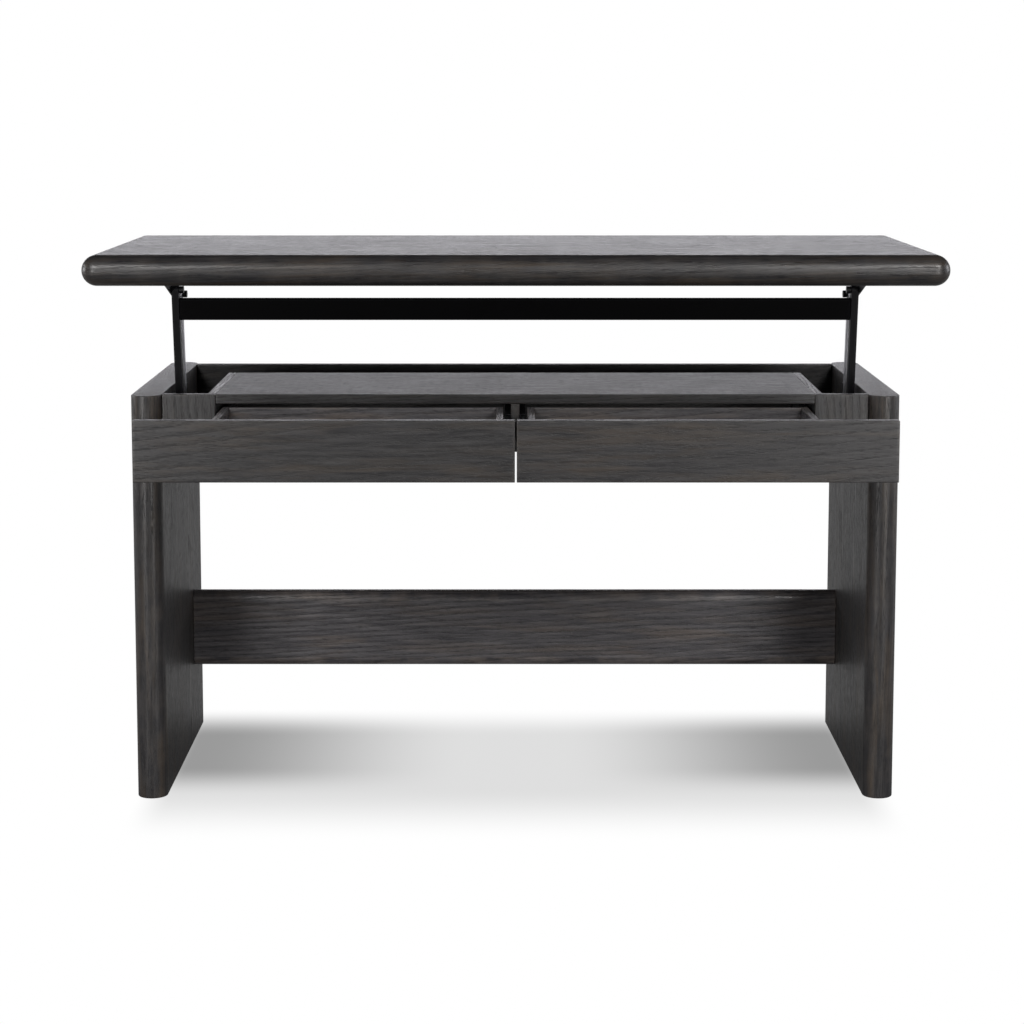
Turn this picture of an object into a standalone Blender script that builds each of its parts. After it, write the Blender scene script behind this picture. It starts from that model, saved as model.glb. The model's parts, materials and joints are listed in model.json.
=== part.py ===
"""Lift-top writing desk with two drawers, in metres, +Z up, drawers facing -Y.

It is modelled in use: the table top is up and forward on its parallel arms, and
both drawers are pulled out. Lengths along Y are measured back from the front of
the legs, and one empty, desk, then centres the whole object over the origin.
"""

import math

import bmesh
import bpy
from mathutils import Euler, Matrix, Vector

# Overall sizes.
TOP_WIDTH = 1.422
TOP_DEPTH = 0.610
TOP_THICKNESS = 0.051
SIDE_OVERHANG = 0.025
LEG_DEPTH = 0.559
LEG_THICKNESS = 0.054
RIM_HEIGHT = 0.738
TOP_REST_GAP = 0.001

# The box between the legs, which holds the drawers and the lift mechanism.
BOX_HEIGHT = 0.104
APRON_THICKNESS = 0.018
FRONT_PANEL_THICKNESS = 0.016
DIVIDER_THICKNESS = 0.015
PARTITION_THICKNESS = 0.016
SHELF_THICKNESS = 0.017
COMPARTMENT_BACK_THICKNESS = 0.012
FLOOR_THICKNESS = 0.004
WELL_WIDTH = 0.081

# The stretcher between the legs, and the glides under them.
STRETCHER_THICKNESS = 0.038
STRETCHER_HEIGHT = 0.150
STRETCHER_BOTTOM = 0.151
STRETCHER_FRONT = 0.406
GLIDE_RADIUS = 0.011
GLIDE_HEIGHT = 0.003
GLIDE_END_INSET = 0.050

# Drawers. Each front overlaps the well beside its box, so it is wider than the box.
DRAWER_FRONT_THICKNESS = 0.020
DRAWER_FRONT_SETBACK = 0.005
DRAWER_FRONT_SIDE_CLEARANCE = 0.001
DRAWER_FRONT_CENTRE_GAP = 0.003
DRAWER_FRONT_EDGE_CLEARANCE = 0.0006
DRAWER_WALL = 0.012
DRAWER_BOTTOM_THICKNESS = 0.006
DRAWER_BOTTOM_INSET = 0.006
DRAWER_SIDE_HEIGHT = 0.063
DRAWER_SIDE_TOP_GAP = 0.006
DRAWER_BACK_CLEARANCE = 0.003

# Ball-bearing slides: a cabinet, a middle and a drawer channel, one in another.
SLIDE_SPACE = 0.0135
SLIDE_HEIGHT = 0.045
SLIDE_SHEET = 0.0014
SLIDE_BALL_GAP = 0.0016
SLIDE_WEB_GAP = 0.0013
SLIDE_FRONT_SETBACK = 0.003
SLIDE_RAISE = 0.002
SLIDE_OVERTRAVEL = 0.005
DRAWER_OPEN_BACKOFF = 0.006

# Lift mechanism. Angles turn from +Y toward +Z, about each pivot.
ARM_LENGTH = 0.2593
ARM_WIDTH = 0.019
ARM_THICKNESS = 0.013
RAISED_ANGLE = math.radians(100.3)
CLOSED_ANGLE = math.radians(8.0)
PIVOT_ABOVE_BOX_BOTTOM = 0.0274
LINK_OFFSET_Y = 0.052
LINK_OFFSET_Z = -0.012
LINK_WIDTH = 0.014
LINK_THICKNESS = 0.011
CROSSBAR_DROP = 0.0364
CROSSBAR_HEIGHT = 0.040
CROSSBAR_THICKNESS = 0.012
CROSSBAR_SHELF_CLEARANCE = 0.0055
BRACKET_SHEET = 0.0025
BRACKET_FLANGE_WIDTH = 0.029
BRACKET_FLANGE_SHEET = 0.003
BRACKET_FRONT_REACH = 0.0906
BRACKET_MARGIN = 0.011
BRACKET_NOSE_HEIGHT = 0.0235
BRACKET_SLOPE_END_GAP = 0.003
BRACKET_LOWER_TRIM = 0.0005
BRACKET_APRON_CLEARANCE = 0.007
BASE_PLATE_SHEET = 0.002
BASE_PLATE_FRONT_REACH = 0.025
BASE_PLATE_REAR_REACH = 0.120
BASE_PLATE_TOP_GAP = 0.018
BASE_PLATE_BOTTOM_GAP = 0.007
LANE_GAP = 0.0005
BOLT_RADIUS = 0.004
BOLT_HEAD_RADIUS = 0.0065
BOLT_HEAD_HEIGHT = 0.0085
BOLT_SHOULDER_RADIUS = 0.007
SPRING_TURNS = 5
SPRING_WIRE = 0.003
SPRING_RADIUS = 0.0085
SPRING_PITCH = 0.0036

# Clearances and roundness.
TOUCH = 0.0003
HOLE_CLEARANCE = 0.0004
FULL_ROUND_FLAT = 0.0001
WOOD_SEGMENTS = 8
PIN_SIDES = 24

# Places that follow from the sizes above.
LEG_SPAN = TOP_WIDTH - 2 * SIDE_OVERHANG
LEG_INNER_X = LEG_SPAN / 2 - LEG_THICKNESS
LEG_ROUND = LEG_THICKNESS / 2
BOX_BOTTOM = RIM_HEIGHT - BOX_HEIGHT
DIVIDER_OUTER_X = LEG_INNER_X - WELL_WIDTH
DIVIDER_INNER_X = DIVIDER_OUTER_X - DIVIDER_THICKNESS
APRON_BACK_Y = LEG_DEPTH - LEG_ROUND
APRON_FRONT_Y = APRON_BACK_Y - APRON_THICKNESS
BOX_FRONT_Y = LEG_ROUND
WELL_FRONT_Y = BOX_FRONT_Y + FRONT_PANEL_THICKNESS
SHELF_UNDERSIDE = RIM_HEIGHT - SHELF_THICKNESS

ARM_PIVOT_Y = (APRON_FRONT_Y - BRACKET_APRON_CLEARANCE - BRACKET_MARGIN - LINK_OFFSET_Y
               - ARM_LENGTH * math.cos(CLOSED_ANGLE))
PIVOT_BELOW_RIM = BOX_HEIGHT - PIVOT_ABOVE_BOX_BOTTOM
ARM_PIVOT_Z = BOX_BOTTOM + PIVOT_ABOVE_BOX_BOTTOM
LINK_PIVOT_Y = ARM_PIVOT_Y + LINK_OFFSET_Y
LINK_PIVOT_Z = ARM_PIVOT_Z + LINK_OFFSET_Z
TOP_PIVOT_Y = ARM_PIVOT_Y + ARM_LENGTH * math.cos(RAISED_ANGLE)
TOP_PIVOT_Z = ARM_PIVOT_Z + ARM_LENGTH * math.sin(RAISED_ANGLE)
FORWARD_SHIFT = ARM_LENGTH * (math.cos(CLOSED_ANGLE) - math.cos(RAISED_ANGLE))
RISE = ARM_LENGTH * (math.sin(RAISED_ANGLE) - math.sin(CLOSED_ANGLE))
TOP_UNDERSIDE = RIM_HEIGHT + TOP_REST_GAP + RISE
TOP_CENTRE_Y = LEG_DEPTH / 2 - FORWARD_SHIFT

# The crossbar's lower corner swings over the shelf's back edge on this radius.
CROSSBAR_SWING = math.hypot(ARM_LENGTH - CROSSBAR_DROP - CROSSBAR_HEIGHT / 2,
                            CROSSBAR_THICKNESS / 2)
SHELF_BACK_Y = (ARM_PIVOT_Y + math.sqrt(CROSSBAR_SWING ** 2 - PIVOT_BELOW_RIM ** 2)
                - CROSSBAR_SHELF_CLEARANCE)
COMPARTMENT_BACK_Y = SHELF_BACK_Y - COMPARTMENT_BACK_THICKNESS

# Lanes across the mechanism, from the leg inward: base plate, top bracket, arm.
BASE_PLATE_INNER_X = LEG_INNER_X - TOUCH - BASE_PLATE_SHEET
BRACKET_OUTER_X = BASE_PLATE_INNER_X - LANE_GAP
BRACKET_INNER_X = BRACKET_OUTER_X - BRACKET_SHEET
ARM_OUTER_X = BRACKET_INNER_X - LANE_GAP
ARM_INNER_X = ARM_OUTER_X - ARM_THICKNESS
LINK_OUTER_X = ARM_OUTER_X - (ARM_THICKNESS - LINK_THICKNESS) / 2

SLIDE_FRONT_Y = BOX_FRONT_Y + SLIDE_FRONT_SETBACK
SLIDE_LENGTH = COMPARTMENT_BACK_Y - DRAWER_BACK_CLEARANCE + SLIDE_FRONT_SETBACK - SLIDE_FRONT_Y
SLIDE_CENTRE_Z = BOX_BOTTOM + (SHELF_UNDERSIDE - BOX_BOTTOM) / 2 + SLIDE_RAISE
DRAWER_OPEN = SLIDE_LENGTH + SLIDE_OVERTRAVEL - DRAWER_OPEN_BACKOFF
DRAWER_FACE_Y = DRAWER_FRONT_SETBACK - DRAWER_OPEN
DRAWER_BOX_FRONT_Y = DRAWER_FACE_Y + DRAWER_FRONT_THICKNESS
DRAWER_BOX_BACK_Y = COMPARTMENT_BACK_Y - DRAWER_BACK_CLEARANCE - DRAWER_OPEN
DRAWER_TOP = SHELF_UNDERSIDE - DRAWER_SIDE_TOP_GAP
DRAWER_UNDERSIDE = DRAWER_TOP - DRAWER_SIDE_HEIGHT

FRONT_MOST_Y = min(TOP_CENTRE_Y - TOP_DEPTH / 2, DRAWER_FACE_Y)
BACK_MOST_Y = max(TOP_CENTRE_Y + TOP_DEPTH / 2, LEG_DEPTH)

SIDES = (("left", -1), ("right", 1))


def clear_scene():
    for old in list(bpy.data.objects):
        bpy.data.objects.remove(old, do_unlink=True)


def make_collection(name, cutters=False):
    made = bpy.data.collections.new(name)
    bpy.context.scene.collection.children.link(made)
    made.hide_render = cutters
    return made


def make_material(name, colour, roughness, metallic=0.0):
    made = bpy.data.materials.new(name)
    made.use_nodes = True
    shader = made.node_tree.nodes["Principled BSDF"]
    shader.inputs["Base Color"].default_value = (*colour, 1.0)
    shader.inputs["Roughness"].default_value = roughness
    shader.inputs["Metallic"].default_value = metallic
    return made


def add_empty(name, place, parent=None):
    """An empty at a place in the desk's own frame, which holds one moving body."""
    empty = bpy.data.objects.new(name, None)
    DESK_PARTS.objects.link(empty)
    empty.empty_display_size = 0.05
    attach(empty, place, parent)
    return empty


def attach(obj, place, parent):
    """Parents obj and puts its origin at place, given in the desk's own frame."""
    obj["place"] = place
    obj.parent = parent
    above = Vector(parent["place"]) if parent else Vector()
    obj.location = Vector(place) - above


def add_object(name, mesh, place, parent, material, smooth_over=None):
    obj = bpy.data.objects.new(name, mesh)
    DESK_PARTS.objects.link(obj)
    if not mesh.materials:
        mesh.materials.append(material)
    if smooth_over is not None:
        mesh.shade_smooth()
        mesh.set_sharp_from_angle(angle=smooth_over)
    attach(obj, place, parent)
    return obj


def box_mesh(name, size, centre=(0, 0, 0), round_axis=None, radius=0.0):
    """A box, with the four edges along one axis rounded, or with all of its edges rounded."""
    bm = bmesh.new()
    bmesh.ops.create_cube(bm, size=1.0)
    bmesh.ops.scale(bm, vec=size, verts=bm.verts)
    if round_axis is not None:
        edges = [edge for edge in bm.edges if round_axis == "ALL" or along(edge, round_axis)]
        bmesh.ops.bevel(bm, geom=edges, offset=radius, offset_type="OFFSET",
                        segments=WOOD_SEGMENTS, profile=0.5, affect="EDGES",
                        clamp_overlap=True)
    bmesh.ops.translate(bm, vec=centre, verts=bm.verts)
    bmesh.ops.recalc_face_normals(bm, faces=bm.faces)
    mesh = bpy.data.meshes.new(name)
    bm.to_mesh(mesh)
    bm.free()
    return mesh


def along(edge, axis):
    """Whether an edge of the unrounded box runs along one axis, given as 0, 1 or 2."""
    span = edge.verts[0].co - edge.verts[1].co
    return abs(span[axis]) > 0.99 * span.length


def add_box(name, low, high, parent, material, round_axis=None, radius=0.0):
    """A box between two corners in the desk's own frame, with its origin at its middle."""
    low = Vector(low)
    high = Vector(high)
    mesh = box_mesh(name, high - low, round_axis=round_axis, radius=radius)
    smooth_over = math.radians(30) if round_axis is not None else None
    return add_object(name, mesh, (low + high) / 2, parent, material, smooth_over)


def between(side, inner_x, outer_x):
    """The lower and higher X of a piece that spans two distances out from the middle."""
    ends = sorted((side * inner_x, side * outer_x))
    return ends[0], ends[1]


def outline_mesh(name, points, thickness, turn):
    """A flat outline with a thickness, made a mesh and turned about the origin."""
    curve = bpy.data.curves.new(name, "CURVE")
    curve.dimensions = "2D"
    curve.fill_mode = "BOTH"
    curve.extrude = thickness / 2
    spline = curve.splines.new("POLY")
    spline.points.add(len(points) - 1)
    for point, (across, up) in zip(spline.points, points):
        point.co = (across, up, 0, 1)
    spline.use_cyclic_u = True
    flat = bpy.data.objects.new(name, curve)
    bpy.context.scene.collection.objects.link(flat)
    graph = bpy.context.evaluated_depsgraph_get()
    mesh = bpy.data.meshes.new_from_object(flat.evaluated_get(graph))
    bpy.data.objects.remove(flat)
    bpy.data.curves.remove(curve)
    bm = bmesh.new()
    bm.from_mesh(mesh)
    bmesh.ops.remove_doubles(bm, verts=bm.verts, dist=1e-6)
    bmesh.ops.rotate(bm, verts=bm.verts, cent=(0, 0, 0), matrix=turn)
    bmesh.ops.recalc_face_normals(bm, faces=bm.faces)
    bm.to_mesh(mesh)
    bm.free()
    mesh.name = name
    return mesh


def turned_mesh(name, profile, turn):
    """A profile of (radius, height) points, from high to low, turned round its axis."""
    bm = bmesh.new()
    rows = [bm.verts.new((radius, 0, height)) for radius, height in profile]
    for upper, lower in zip(rows, rows[1:]):
        bm.edges.new((upper, lower))
    mesh = bpy.data.meshes.new(name)
    bm.to_mesh(mesh)
    bm.free()
    lathe = bpy.data.objects.new(name, mesh)
    bpy.context.scene.collection.objects.link(lathe)
    screw = lathe.modifiers.new("Screw", "SCREW")
    screw.steps = PIN_SIDES
    screw.render_steps = PIN_SIDES
    screw.use_merge_vertices = True
    screw.merge_threshold = 0.00001
    graph = bpy.context.evaluated_depsgraph_get()
    turned = bpy.data.meshes.new_from_object(lathe.evaluated_get(graph))
    bpy.data.objects.remove(lathe)
    bpy.data.meshes.remove(mesh)
    turned.transform(turn)
    turned.name = name
    return turned


def drill(obj, centre, radius, depth):
    """Cuts a round hole along X through a piece; centre is in the piece's own frame."""
    bm = bmesh.new()
    bmesh.ops.create_cone(bm, cap_ends=True, segments=PIN_SIDES, radius1=radius,
                          radius2=radius, depth=depth,
                          matrix=Matrix.Rotation(math.pi / 2, 4, "Y"))
    mesh = bpy.data.meshes.new(obj.name + "_hole")
    bm.to_mesh(mesh)
    bm.free()
    cutter = bpy.data.objects.new(obj.name + "_hole", mesh)
    CUTTERS.objects.link(cutter)
    cutter.parent = obj
    cutter.location = centre
    hide_helper(cutter)
    add_boolean(obj, cutter, "DIFFERENCE")


def hide_helper(helper):
    helper.hide_render = True
    helper.display_type = "WIRE"


def add_boolean(obj, other, operation):
    boolean = obj.modifiers.new(operation.title(), "BOOLEAN")
    boolean.operation = operation
    boolean.solver = "EXACT"
    boolean.object = other


# ---- Fixed wooden pieces ----------------------------------------------------------


def build_legs():
    for side_name, side in SIDES:
        low_x, high_x = between(side, LEG_INNER_X, LEG_INNER_X + LEG_THICKNESS)
        add_box(side_name + "_leg", (low_x, 0, GLIDE_HEIGHT + TOUCH),
                (high_x, LEG_DEPTH, RIM_HEIGHT), DESK, LEG_WOOD, 2,
                LEG_ROUND - FULL_ROUND_FLAT)


def build_glides():
    places = (("front", GLIDE_END_INSET), ("back", LEG_DEPTH - GLIDE_END_INSET))
    for side_name, side in SIDES:
        for end_name, place_y in places:
            name = end_name + "_" + side_name + "_glide"
            profile = ((0, GLIDE_HEIGHT), (GLIDE_RADIUS, GLIDE_HEIGHT), (GLIDE_RADIUS, 0), (0, 0))
            mesh = turned_mesh(name, profile, Matrix.Identity(4))
            centre_x = side * (LEG_INNER_X + LEG_THICKNESS / 2)
            add_object(name, mesh, (centre_x, place_y, 0), DESK, GLIDE_PLASTIC, math.radians(30))


def build_stretcher():
    half = LEG_INNER_X - TOUCH
    add_box("stretcher", (-half, STRETCHER_FRONT, STRETCHER_BOTTOM),
            (half, STRETCHER_FRONT + STRETCHER_THICKNESS, STRETCHER_BOTTOM + STRETCHER_HEIGHT),
            DESK, STRETCHER_WOOD, 0, STRETCHER_THICKNESS / 2 - FULL_ROUND_FLAT)


def build_box_panels():
    half = LEG_INNER_X - TOUCH
    add_box("back_apron", (-half, APRON_FRONT_Y, BOX_BOTTOM), (half, APRON_BACK_Y, RIM_HEIGHT),
            DESK, APRON_WOOD)
    for side_name, side in SIDES:
        low_x, high_x = between(side, DIVIDER_INNER_X, LEG_INNER_X - TOUCH)
        add_box(side_name + "_front_panel", (low_x, BOX_FRONT_Y, BOX_BOTTOM),
                (high_x, WELL_FRONT_Y, RIM_HEIGHT), DESK, PANEL_WOOD)
        low_x, high_x = between(side, DIVIDER_INNER_X, DIVIDER_OUTER_X)
        add_box(side_name + "_divider", (low_x, WELL_FRONT_Y + TOUCH, BOX_BOTTOM),
                (high_x, SHELF_BACK_Y, RIM_HEIGHT), DESK, PANEL_WOOD)
    half = DIVIDER_INNER_X - TOUCH
    add_box("shelf_panel", (-half, BOX_FRONT_Y, SHELF_UNDERSIDE),
            (half, SHELF_BACK_Y, RIM_HEIGHT), DESK, SHELF_WOOD)
    add_box("compartment_back", (-half, COMPARTMENT_BACK_Y, BOX_BOTTOM),
            (half, SHELF_BACK_Y, SHELF_UNDERSIDE - TOUCH), DESK, PANEL_WOOD)
    add_box("centre_partition", (-PARTITION_THICKNESS / 2, BOX_FRONT_Y, BOX_BOTTOM),
            (PARTITION_THICKNESS / 2, COMPARTMENT_BACK_Y - TOUCH, SHELF_UNDERSIDE - TOUCH),
            DESK, PANEL_WOOD)


def build_floors():
    """Thin panels that close the two wells and the rear trough from below."""
    top = BOX_BOTTOM + FLOOR_THICKNESS
    for side_name, side in SIDES:
        low_x, high_x = between(side, DIVIDER_OUTER_X + TOUCH, LEG_INNER_X - TOUCH)
        add_box(side_name + "_well_floor", (low_x, WELL_FRONT_Y + TOUCH, BOX_BOTTOM),
                (high_x, SHELF_BACK_Y, top), DESK, FLOOR_BOARD)
    half = LEG_INNER_X - TOUCH
    add_box("trough_floor", (-half, SHELF_BACK_Y + TOUCH, BOX_BOTTOM),
            (half, APRON_FRONT_Y - TOUCH, top), DESK, FLOOR_BOARD)


# ---- Drawers and their slides -----------------------------------------------------


def build_drawer(side_name, side):
    """One drawer, pulled out: a front, two sides, a back and a bottom."""
    inner_x = PARTITION_THICKNESS / 2 + SLIDE_SPACE
    outer_x = DIVIDER_INNER_X - SLIDE_SPACE
    front_low, front_high = between(side, DRAWER_FRONT_CENTRE_GAP / 2,
                                    LEG_INNER_X - DRAWER_FRONT_SIDE_CLEARANCE)
    drawer = add_empty(side_name + "_drawer", (side * (inner_x + outer_x) / 2, DRAWER_FACE_Y,
                                               SLIDE_CENTRE_Z), DESK)
    prefix = side_name + "_drawer_"
    add_box(prefix + "front",
            (front_low, DRAWER_FACE_Y, BOX_BOTTOM + DRAWER_FRONT_EDGE_CLEARANCE),
            (front_high, DRAWER_BOX_FRONT_Y, RIM_HEIGHT - DRAWER_FRONT_EDGE_CLEARANCE),
            drawer, DRAWER_FRONT_WOOD)
    walls = (("inner_side", inner_x, inner_x + DRAWER_WALL),
             ("outer_side", outer_x - DRAWER_WALL, outer_x))
    for wall_name, near_x, far_x in walls:
        low_x, high_x = between(side, near_x, far_x)
        add_box(prefix + wall_name, (low_x, DRAWER_BOX_FRONT_Y + TOUCH, DRAWER_UNDERSIDE),
                (high_x, DRAWER_BOX_BACK_Y, DRAWER_TOP), drawer, DRAWER_BOX_WOOD)
    low_x, high_x = between(side, inner_x + DRAWER_WALL + TOUCH, outer_x - DRAWER_WALL - TOUCH)
    add_box(prefix + "back", (low_x, DRAWER_BOX_BACK_Y - DRAWER_WALL, DRAWER_UNDERSIDE),
            (high_x, DRAWER_BOX_BACK_Y, DRAWER_TOP), drawer, DRAWER_BOX_WOOD)
    bottom_low = DRAWER_UNDERSIDE + DRAWER_BOTTOM_INSET
    add_box(prefix + "bottom", (low_x, DRAWER_BOX_FRONT_Y + TOUCH, bottom_low),
            (high_x, DRAWER_BOX_BACK_Y - DRAWER_WALL - TOUCH,
             bottom_low + DRAWER_BOTTOM_THICKNESS), drawer, DRAWER_BOX_WOOD)
    return drawer


def channel_outline(web_low, web_high, lip_end, height):
    """A C section: its web between two distances, and its lips reaching to a third."""
    outer = height / 2
    inner = outer - SLIDE_SHEET
    back, face = (web_low, web_high) if lip_end > web_low else (web_high, web_low)
    return ((back, -outer), (lip_end, -outer), (lip_end, -inner), (face, -inner),
            (face, inner), (lip_end, inner), (lip_end, outer), (back, outer))


def build_slide(name, wall_x, toward_drawer, drawer, middle_parent):
    """One three-part slide in the space between a fixed wall and a drawer side."""
    step = SLIDE_SHEET + SLIDE_BALL_GAP
    cabinet_web = TOUCH + SLIDE_SHEET
    middle_web = cabinet_web + SLIDE_WEB_GAP
    drawer_web = SLIDE_SPACE - TOUCH - SLIDE_SHEET
    members = (
        ("cabinet", DESK, SLIDE_FRONT_Y, SLIDE_HEIGHT,
         (TOUCH, cabinet_web, drawer_web - SLIDE_WEB_GAP - SLIDE_SHEET)),
        ("middle", middle_parent, SLIDE_FRONT_Y - DRAWER_OPEN / 2, SLIDE_HEIGHT - 2 * step,
         (middle_web, middle_web + SLIDE_SHEET, drawer_web - SLIDE_WEB_GAP)),
        ("drawer", drawer, SLIDE_FRONT_Y - DRAWER_OPEN, SLIDE_HEIGHT - 4 * step,
         (drawer_web, drawer_web + SLIDE_SHEET, middle_web + SLIDE_SHEET + SLIDE_WEB_GAP)),
    )
    for member, parent, front_y, height, section in members:
        outline = [(toward_drawer * across, up)
                   for across, up in channel_outline(*section, height)]
        member_name = name + "_" + member + "_slide"
        mesh = outline_mesh(member_name, outline, SLIDE_LENGTH,
                            Matrix.Rotation(math.pi / 2, 3, "X"))
        add_object(member_name, mesh, (wall_x, front_y + SLIDE_LENGTH / 2, SLIDE_CENTRE_Z),
                   parent, SLIDE_STEEL)


def build_drawers():
    for side_name, side in SIDES:
        drawer = build_drawer(side_name, side)
        middle = add_empty(side_name + "_slide_middles",
                           (drawer["place"][0], SLIDE_FRONT_Y - DRAWER_OPEN / 2, SLIDE_CENTRE_Z),
                           DESK)
        build_slide(side_name + "_inner", side * PARTITION_THICKNESS / 2, side, drawer, middle)
        build_slide(side_name + "_outer", side * DIVIDER_INNER_X, -side, drawer, middle)


# ---- Lift mechanism ---------------------------------------------------------------


def build_base_plates():
    front = ARM_PIVOT_Y - BASE_PLATE_FRONT_REACH
    back = LINK_PIVOT_Y + BASE_PLATE_REAR_REACH
    for side_name, side in SIDES:
        low_x, high_x = between(side, BASE_PLATE_INNER_X, LEG_INNER_X - TOUCH)
        plate = add_box(side_name + "_base_plate",
                        (low_x, front, BOX_BOTTOM + BASE_PLATE_BOTTOM_GAP),
                        (high_x, back, RIM_HEIGHT - BASE_PLATE_TOP_GAP), DESK, BLACK_STEEL)
        middle = Vector(plate["place"])
        for pivot_y, pivot_z in ((ARM_PIVOT_Y, ARM_PIVOT_Z), (LINK_PIVOT_Y, LINK_PIVOT_Z)):
            drill(plate, (0, pivot_y - middle.y, pivot_z - middle.z),
                  BOLT_RADIUS + HOLE_CLEARANCE, 4 * BASE_PLATE_SHEET)


def add_bar(name, side, outer_x, thickness, width, place, parent, material):
    """A flat bar with round ends and an eye at each pivot, leaning at the raised angle."""
    low_x, high_x = between(side, outer_x - thickness, outer_x)
    mesh = box_mesh(name, (thickness, ARM_LENGTH + width, width), (0, ARM_LENGTH / 2, 0),
                    0, width / 2 - FULL_ROUND_FLAT)
    bar = add_object(name, mesh, ((low_x + high_x) / 2, place[0], place[1]), parent, material,
                     math.radians(30))
    bar.rotation_euler = Euler((RAISED_ANGLE, 0, 0))
    for along_bar in (0, ARM_LENGTH):
        drill(bar, (0, along_bar, 0), BOLT_RADIUS + HOLE_CLEARANCE, 2 * thickness)
    return bar


def build_arms(arms, links):
    for side_name, side in SIDES:
        add_bar(side_name + "_front_arm", side, ARM_OUTER_X, ARM_THICKNESS, ARM_WIDTH,
                (ARM_PIVOT_Y, ARM_PIVOT_Z), arms, BLACK_STEEL)
        add_bar(side_name + "_rear_link", side, LINK_OUTER_X, LINK_THICKNESS, LINK_WIDTH,
                (LINK_PIVOT_Y, LINK_PIVOT_Z), links, ZINC_STEEL)
    from_pivot = ARM_LENGTH - CROSSBAR_DROP
    mesh = box_mesh("crossbar", (2 * (ARM_INNER_X - TOUCH), CROSSBAR_HEIGHT, CROSSBAR_THICKNESS),
                    (0, from_pivot, 0))
    crossbar = add_object("crossbar", mesh, (0, ARM_PIVOT_Y, ARM_PIVOT_Z), arms, BLACK_STEEL)
    crossbar.rotation_euler = Euler((RAISED_ANGLE, 0, 0))


def build_brackets(top):
    """Side plates that hang from the table top, each with a flange screwed under it."""
    upper = TOP_UNDERSIDE - TOUCH - TOP_PIVOT_Z
    rear_low = LINK_OFFSET_Z - BRACKET_MARGIN + BRACKET_LOWER_TRIM
    rear = LINK_OFFSET_Y + BRACKET_MARGIN
    slope_end = LINK_OFFSET_Y - BRACKET_SLOPE_END_GAP
    outline = ((-BRACKET_FRONT_REACH, upper),
               (-BRACKET_FRONT_REACH, upper - BRACKET_NOSE_HEIGHT),
               (slope_end, rear_low), (rear, rear_low), (rear, upper))
    turn = Euler((math.pi / 2, 0, math.pi / 2)).to_matrix()
    for side_name, side in SIDES:
        name = side_name + "_top_bracket"
        mesh = outline_mesh(name, outline, BRACKET_SHEET, turn)
        plate_x = side * (BRACKET_OUTER_X + BRACKET_INNER_X) / 2
        bracket = add_object(name, mesh, (plate_x, TOP_PIVOT_Y, TOP_PIVOT_Z), top, BLACK_STEEL)
        flange_size = (BRACKET_FLANGE_WIDTH, BRACKET_FRONT_REACH + rear, BRACKET_FLANGE_SHEET)
        flange = bpy.data.objects.new(
            name + "_flange",
            box_mesh(name + "_flange", flange_size,
                     (-side * (BRACKET_FLANGE_WIDTH - BRACKET_SHEET) / 2,
                      (rear - BRACKET_FRONT_REACH) / 2, upper - BRACKET_FLANGE_SHEET / 2)))
        CUTTERS.objects.link(flange)
        flange.parent = bracket
        hide_helper(flange)
        add_boolean(bracket, flange, "UNION")
        for pivot_y, pivot_z in ((0, 0), (LINK_OFFSET_Y, LINK_OFFSET_Z)):
            drill(bracket, (0, pivot_y, pivot_z), BOLT_RADIUS + HOLE_CLEARANCE, 4 * BRACKET_SHEET)


def add_bolt(name, side, outer_x, shoulder, head_x, place, parent):
    """A pivot bolt along X: plain end outside, an optional shoulder, its head inside."""
    profile = [(0, outer_x), (BOLT_RADIUS, outer_x)]
    if shoulder:
        outer_shoulder, inner_shoulder = shoulder
        profile += [(BOLT_RADIUS, outer_shoulder), (BOLT_SHOULDER_RADIUS, outer_shoulder),
                    (BOLT_SHOULDER_RADIUS, inner_shoulder), (BOLT_RADIUS, inner_shoulder)]
    head_end = head_x - BOLT_HEAD_HEIGHT
    profile += [(BOLT_RADIUS, head_x), (BOLT_HEAD_RADIUS, head_x),
                (BOLT_HEAD_RADIUS, head_end), (0, head_end)]
    from_outer = [(radius, along_x - outer_x) for radius, along_x in profile]
    mesh = turned_mesh(name, from_outer, Matrix.Rotation(side * math.pi / 2, 4, "Y"))
    add_object(name, mesh, (side * outer_x, place[0], place[1]), parent, ZINC_STEEL,
               math.radians(30))


def build_bolts(top):
    shoulder = (BASE_PLATE_INNER_X - TOUCH, ARM_OUTER_X + TOUCH)
    link_shoulder = (BASE_PLATE_INNER_X - TOUCH, LINK_OUTER_X + TOUCH)
    link_head = LINK_OUTER_X - LINK_THICKNESS - TOUCH
    arm_head = ARM_INNER_X - TOUCH
    spring_end = arm_head - spring_length() - 4 * TOUCH
    for side_name, side in SIDES:
        lower = side_name + "_lower_"
        upper = side_name + "_upper_"
        add_bolt(lower + "arm_bolt", side, LEG_INNER_X - TOUCH, shoulder, spring_end,
                 (ARM_PIVOT_Y, ARM_PIVOT_Z), DESK)
        add_bolt(lower + "link_bolt", side, LEG_INNER_X - TOUCH, link_shoulder, link_head,
                 (LINK_PIVOT_Y, LINK_PIVOT_Z), DESK)
        add_bolt(upper + "arm_bolt", side, BRACKET_OUTER_X, None, arm_head,
                 (TOP_PIVOT_Y, TOP_PIVOT_Z), top)
        add_bolt(upper + "link_bolt", side, BRACKET_OUTER_X, None, link_head,
                 (TOP_PIVOT_Y + LINK_OFFSET_Y, TOP_PIVOT_Z + LINK_OFFSET_Z), top)


def spring_length():
    return SPRING_TURNS * SPRING_PITCH + SPRING_WIRE


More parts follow.
